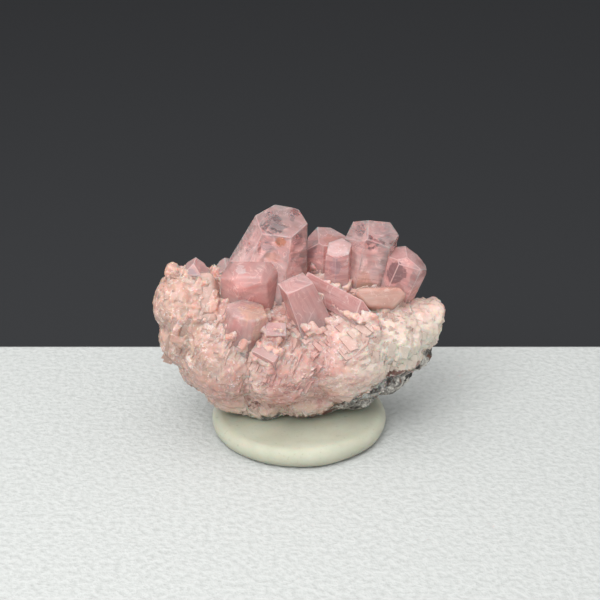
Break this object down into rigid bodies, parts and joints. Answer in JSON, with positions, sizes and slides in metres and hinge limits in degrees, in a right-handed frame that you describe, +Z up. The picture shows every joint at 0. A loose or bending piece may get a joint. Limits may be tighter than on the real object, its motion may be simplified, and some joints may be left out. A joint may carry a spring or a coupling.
{
  "type": "cobaltoan calcite cluster",
  "caption": "Pink cobaltoan calcite crystals grown together on a chip of grey host rock, standing in a round pad of display putty.",
  "frame": {"origin": "centre of the putty pad's flat underside", "axes": "+Z up; the specimen's show side faces -Y; +X to the right of a viewer who looks at the show side"},
  "size_m": [0.023, 0.014, 0.0179],
  "materials": {
    "calcite": "translucent pink crystal, glossy flat faces, milky and sugary low down",
    "rock": "rough grey stone with rust-brown stains",
    "putty": "smooth pale grey-green mineral putty, slightly waxy"
  },
  "bodies": {
    "root": {"calcite_crystals": "calcite", "host_rock": "rock", "putty_pad": "putty"}
  },
  "joints": []
}
